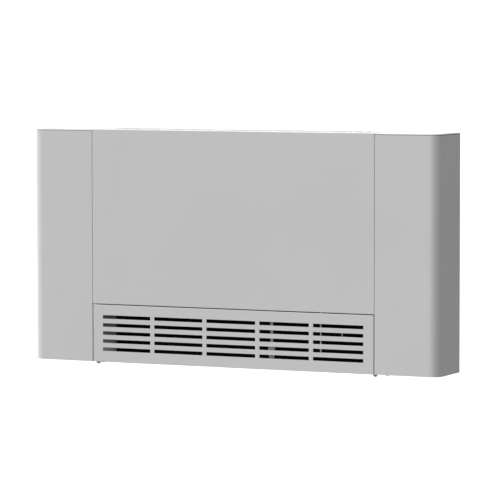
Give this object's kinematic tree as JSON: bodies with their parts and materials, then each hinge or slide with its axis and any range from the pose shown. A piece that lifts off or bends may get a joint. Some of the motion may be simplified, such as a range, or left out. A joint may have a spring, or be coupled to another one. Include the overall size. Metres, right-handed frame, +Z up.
{
  "type": "fan coil unit",
  "caption": "Slim wall-hung fan coil unit with a slotted intake flap, a plain front panel, rounded side cheeks with hinged lids, a cross-flow fan, a finned coil and a top outlet grille.",
  "frame": {"origin": "on the wall plane, at the middle of the cabinet's lower edge", "axes": "+X to the right seen from the room, +Y into the wall, +Z up"},
  "size_m": [1.098, 0.134, 0.5885],
  "materials": {
    "cabinet_paint": "satin light grey powder coat",
    "grille_aluminium": "painted light grey",
    "galvanised_steel": "galvanised sheet",
    "bright_steel": "plain",
    "grey_plastic": "moulded",
    "magnet": "sintered",
    "foam": "black closed-cell foam",
    "moulded_foam": "moulded dense foam",
    "rotor_aluminium": "dull",
    "bronze": "sintered",
    "black_rubber": "matt",
    "black_plastic": "moulded",
    "filter_cloth": "open weave",
    "white_plastic": "moulded",
    "fin_aluminium": "thin sheet",
    "copper": "drawn copper tube",
    "fitting_brass": "turned",
    "motor_steel": "pressed sheet",
    "circuit_laminate": "solder mask"
  },
  "bodies": {
    "cabinet": {"front_panel": "cabinet_paint", "left_cheek": "cabinet_paint", "right_cheek": "cabinet_paint", "outlet_grille": "grille_aluminium", "lid_hinge_brackets": "galvanised_steel", "lid_hinge_pins": "bright_steel", "grille_hinge_brackets": "grey_plastic", "grille_hinge_pins": "bright_steel", "grille_magnets": "magnet", "cheek_screws": "black_plastic", "rear_panel": "galvanised_steel", "left_frame_plate": "galvanised_steel", "right_frame_plate": "galvanised_steel", "cross_rail": "galvanised_steel", "rear_insulation": "foam", "front_insulation": "foam", "frame_screws": "bright_steel", "fan_bearing": "bronze", "bearing_rubber": "black_rubber", "bearing_plate": "black_plastic", "rear_scroll": "galvanised_steel", "fan_tongue": "moulded_foam", "filter_frame": "black_plastic", "filter_mesh": "filter_cloth", "filter_rails": "galvanised_steel", "filter_pull_tab": "white_plastic", "probe_strip": "white_plastic", "air_probe": "white_plastic", "coil_fins": "fin_aluminium", "coil_end_plates": "galvanised_steel", "coil_tubes": "copper", "supply_header": "copper", "return_header": "copper", "supply_fitting": "fitting_brass", "return_fitting": "fitting_brass", "air_vent": "fitting_brass", "drain_pan": "white_plastic", "fan_motor": "motor_steel", "motor_rubber": "black_rubber", "motor_bracket": "galvanised_steel", "motor_lead": "black_rubber", "control_box": "white_plastic", "control_box_cover": "white_plastic", "circuit_board": "circuit_laminate", "terminal_block": "grey_plastic", "cable_gland": "black_plastic", "control_plate": "black_plastic", "control_switches": "black_plastic"},
    "grille_flap": {"intake_grille": "cabinet_paint"},
    "left_lid_flap": {"left_lid": "cabinet_paint"},
    "right_lid_flap": {"right_lid": "cabinet_paint"},
    "fan_rotor": {"cross_flow_fan": "rotor_aluminium", "fan_stub_shaft": "bright_steel", "motor_shaft": "bright_steel"},
    "thermostat_dial": {"thermostat_knob": "white_plastic"},
    "speed_dial": {"speed_knob": "white_plastic"},
    "bleed_valve": {"bleed_knob": "white_plastic"}
  },
  "joints": [
    {"name": "grille_tilt", "type": "hinge", "parent": "cabinet", "child": "grille_flap", "pos_m": [0, -0.113, -0.0015], "axis": [1, 0, 0], "range_deg": [0, 75]},
    {"name": "left_lid_hinge", "type": "hinge", "parent": "cabinet", "child": "left_lid_flap", "pos_m": [-0.4465, -0.009, 0.575], "axis": [-1, 0, 0], "range_deg": [0, 85]},
    {"name": "right_lid_hinge", "type": "hinge", "parent": "cabinet", "child": "right_lid_flap", "pos_m": [0.4465, -0.009, 0.575], "axis": [-1, 0, 0], "range_deg": [0, 85]},
    {"name": "fan_spin", "type": "hinge", "parent": "cabinet", "child": "fan_rotor", "pos_m": [0, -0.066, 0.212], "axis": [1, 0, 0], "continuous": true},
    {"name": "thermostat_turn", "type": "hinge", "parent": "cabinet", "child": "thermostat_dial", "pos_m": [0.4315, -0.0675, 0.556], "axis": [0, 0, -1], "range_deg": [-135, 135]},
    {"name": "speed_turn", "type": "hinge", "parent": "cabinet", "child": "speed_dial", "pos_m": [0.498, -0.0675, 0.556], "axis": [0, 0, -1], "range_deg": [0, 120]},
    {"name": "bleed_turn", "type": "hinge", "parent": "cabinet", "child": "bleed_valve", "pos_m": [-0.505, -0.05173, 0.526], "axis": [0, 0, 1], "range_deg": [0, 360]}
  ]
}
